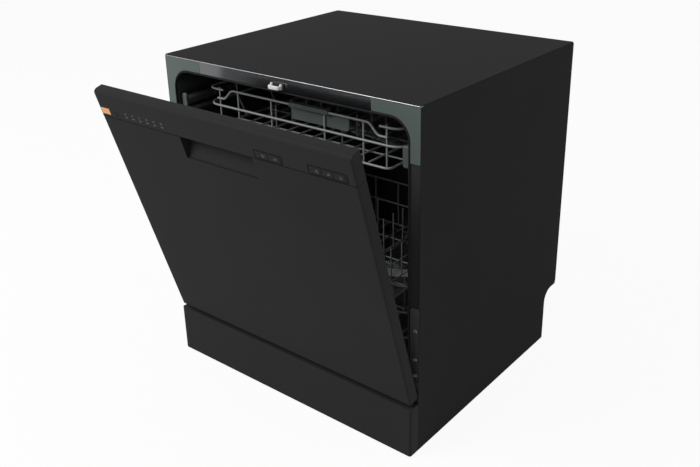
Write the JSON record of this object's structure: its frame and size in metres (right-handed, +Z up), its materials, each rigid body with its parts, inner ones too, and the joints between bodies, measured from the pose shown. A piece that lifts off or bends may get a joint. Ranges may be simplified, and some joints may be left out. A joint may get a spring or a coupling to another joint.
{
  "type": "countertop dishwasher",
  "caption": "Compact countertop dishwasher with a drop-down front door standing ajar, sliding wire racks, spray arms, push buttons and a plinth.",
  "frame": {"origin": "middle of the footprint (closed door front to back panel, side to side), on the worktop", "axes": "+X right seen from the front, +Y to the back, +Z up"},
  "size_m": [0.55, 0.6333, 0.595],
  "materials": {
    "black_paint": "satin",
    "black_plastic": "satin",
    "dark_plastic": "matt",
    "button_plastic": "satin",
    "frame_paint": "gloss",
    "stainless": "brushed",
    "zinc_steel": "dull",
    "rubber": "matt",
    "trim_plastic": "satin",
    "rack_wire": "satin",
    "white_plastic": "satin",
    "grey_plastic": "satin",
    "pump_plastic": "matt",
    "orange_label": "gloss",
    "blue_plastic": "satin",
    "board": "satin",
    "lens": "gloss"
  },
  "bodies": {
    "cabinet": {"top_panel": "black_paint", "left_side_panel": "black_paint", "right_side_panel": "black_paint", "back_panel": "black_paint", "base_tray": "dark_plastic", "plinth": "black_plastic", "front_frame": "frame_paint", "top_trim_strip": "black_plastic", "corner_trims": "trim_plastic", "latch_striker": "white_plastic", "tub": "stainless", "door_seal": "rubber", "rack_rails": "stainless", "rail_end_caps": "grey_plastic", "hinge_brackets": "zinc_steel", "hinge_screws": "zinc_steel", "door_springs": "zinc_steel", "sump": "grey_plastic", "wash_pump": "pump_plastic", "drain_pump": "pump_plastic", "wash_pipe": "white_plastic", "water_softener": "white_plastic", "inlet_valve": "white_plastic", "drain_connector": "dark_plastic", "cable_gland": "rubber"},
    "filter": {"filter_basket": "grey_plastic"},
    "salt_lid": {"salt_cap": "white_plastic"},
    "lower_arm": {"lower_spray_arm": "grey_plastic"},
    "foot_fl": {"front_left_foot": "rubber"},
    "foot_fr": {"front_right_foot": "rubber"},
    "foot_rl": {"rear_left_foot": "rubber"},
    "foot_rr": {"rear_right_foot": "rubber"},
    "door": {"door_panel": "black_paint", "control_fascia": "black_plastic", "handle_pocket": "dark_plastic", "door_liner": "stainless", "hinge_arms": "zinc_steel", "latch_housing": "pump_plastic", "control_board": "board", "indicator_lights": "lens", "colour_tab": "orange_label", "dispenser_body": "grey_plastic"},
    "detergent_lid": {"dispenser_lid": "grey_plastic"},
    "rinse_cap": {"rinse_aid_cap": "blue_plastic"},
    "power_key": {"power_button": "button_plastic"},
    "program_key": {"program_button": "button_plastic"},
    "extra_key": {"extra_button": "button_plastic"},
    "delay_key": {"delay_button": "button_plastic"},
    "lock_key": {"child_lock_button": "button_plastic"},
    "start_key": {"start_button": "button_plastic"},
    "upper_basket": {"upper_rack": "rack_wire", "upper_rack_handle": "trim_plastic", "rack_shoes": "grey_plastic", "upper_feed_pipe": "grey_plastic"},
    "upper_arm": {"upper_spray_arm": "grey_plastic"},
    "lower_basket": {"lower_rack": "rack_wire", "cutlery_basket": "grey_plastic"},
    "tines": {"folding_tines": "rack_wire"},
    "wheels_front": {"front_wheels": "grey_plastic"},
    "wheels_rear": {"rear_wheels": "grey_plastic"}
  },
  "joints": [
    {"name": "door_hinge", "type": "hinge", "parent": "cabinet", "child": "door", "pos_m": [0, -0.234, 0.1105], "axis": [1, 0, 0], "range_deg": [-16.5, 73.5], "stiffness_Nm_per_rad": 9, "springref_deg": -16.5, "deforming": ["door_springs"]},
    {"name": "upper_rack_slide", "type": "slide", "parent": "cabinet", "child": "upper_basket", "axis": [0, -1, 0], "range_m": [-0.0576, 0.2566]},
    {"name": "lower_rack_slide", "type": "slide", "parent": "cabinet", "child": "lower_basket", "axis": [0, -1, 0], "range_m": [-0.0245, 0.1091]},
    {"name": "front_wheel_turn", "type": "hinge", "parent": "lower_basket", "child": "wheels_front", "pos_m": [0, -0.1, 0.1493], "axis": [1, 0, 0], "range_deg": [-113.5, 504]},
    {"name": "rear_wheel_turn", "type": "hinge", "parent": "lower_basket", "child": "wheels_rear", "pos_m": [0, 0.12, 0.1493], "axis": [1, 0, 0], "range_deg": [-113.5, 504]},
    {"name": "tine_fold", "type": "hinge", "parent": "lower_basket", "child": "tines", "pos_m": [0, 0, 0.1764], "axis": [0, -1, 0], "range_deg": [0, 80]},
    {"name": "lower_arm_spin", "type": "hinge", "parent": "cabinet", "child": "lower_arm", "pos_m": [0, 0, 0.1525], "axis": [0, 0, 1], "continuous": true},
    {"name": "upper_arm_spin", "type": "hinge", "parent": "upper_basket", "child": "upper_arm", "pos_m": [0, -0.0215, 0.4515], "axis": [0, 0, 1], "continuous": true},
    {"name": "filter_turn", "type": "hinge", "parent": "cabinet", "child": "filter", "pos_m": [0, -0.04, 0.13], "axis": [0, 0, 1], "range_deg": [0, 90]},
    {"name": "salt_cap_turn", "type": "hinge", "parent": "cabinet", "child": "salt_lid", "pos_m": [-0.18, 0.096, 0.136], "axis": [0, 0, 1], "range_deg": [0, 270]},
    {"name": "detergent_lid_swing", "type": "hinge", "parent": "door", "child": "detergent_lid", "pos_m": [0, -0.25962, 0.30368], "axis": [-1, 0, 0], "range_deg": [0, 100]},
    {"name": "rinse_cap_turn", "type": "hinge", "parent": "door", "child": "rinse_cap", "pos_m": [0.04, -0.27376, 0.3433], "axis": [0, -0.9588, -0.284], "range_deg": [0, 90]},
    {"name": "power_press", "type": "slide", "parent": "door", "child": "power_key", "axis": [0, 0.9588, 0.284], "range_m": [0, 0.0012], "stiffness_N_per_m": 500, "springref_m": -0.001},
    {"name": "program_press", "type": "slide", "parent": "door", "child": "program_key", "axis": [0, 0.9588, 0.284], "range_m": [0, 0.0012], "stiffness_N_per_m": 500, "springref_m": -0.001},
    {"name": "extra_press", "type": "slide", "parent": "door", "child": "extra_key", "axis": [0, 0.9588, 0.284], "range_m": [0, 0.0012], "stiffness_N_per_m": 500, "springref_m": -0.001},
    {"name": "delay_press", "type": "slide", "parent": "door", "child": "delay_key", "axis": [0, 0.9588, 0.284], "range_m": [0, 0.0012], "stiffness_N_per_m": 500, "springref_m": -0.001},
    {"name": "child_lock_press", "type": "slide", "parent": "door", "child": "lock_key", "axis": [0, 0.9588, 0.284], "range_m": [0, 0.0012], "stiffness_N_per_m": 500, "springref_m": -0.001},
    {"name": "start_press", "type": "slide", "parent": "door", "child": "start_key", "axis": [0, 0.9588, 0.284], "range_m": [0, 0.0012], "stiffness_N_per_m": 500, "springref_m": -0.001},
    {"name": "front_left_foot_adjust", "type": "slide", "parent": "cabinet", "child": "foot_fl", "axis": [0, 0, -1], "range_m": [0, 0.01]},
    {"name": "front_right_foot_adjust", "type": "slide", "parent": "cabinet", "child": "foot_fr", "axis": [0, 0, -1], "range_m": [0, 0.01]},
    {"name": "rear_left_foot_adjust", "type": "slide", "parent": "cabinet", "child": "foot_rl", "axis": [0, 0, -1], "range_m": [0, 0.01]},
    {"name": "rear_right_foot_adjust", "type": "slide", "parent": "cabinet", "child": "foot_rr", "axis": [0, 0, -1], "range_m": [0, 0.01]}
  ],
  "couplings": [
    {"joint": "upper_rack_slide", "follows": "door_hinge", "m_per_rad": 0.2},
    {"joint": "lower_rack_slide", "follows": "door_hinge", "m_per_rad": 0.085},
    {"joint": "front_wheel_turn", "follows": "door_hinge", "ratio": 6.8548},
    {"joint": "rear_wheel_turn", "follows": "door_hinge", "ratio": 6.8548}
  ]
}
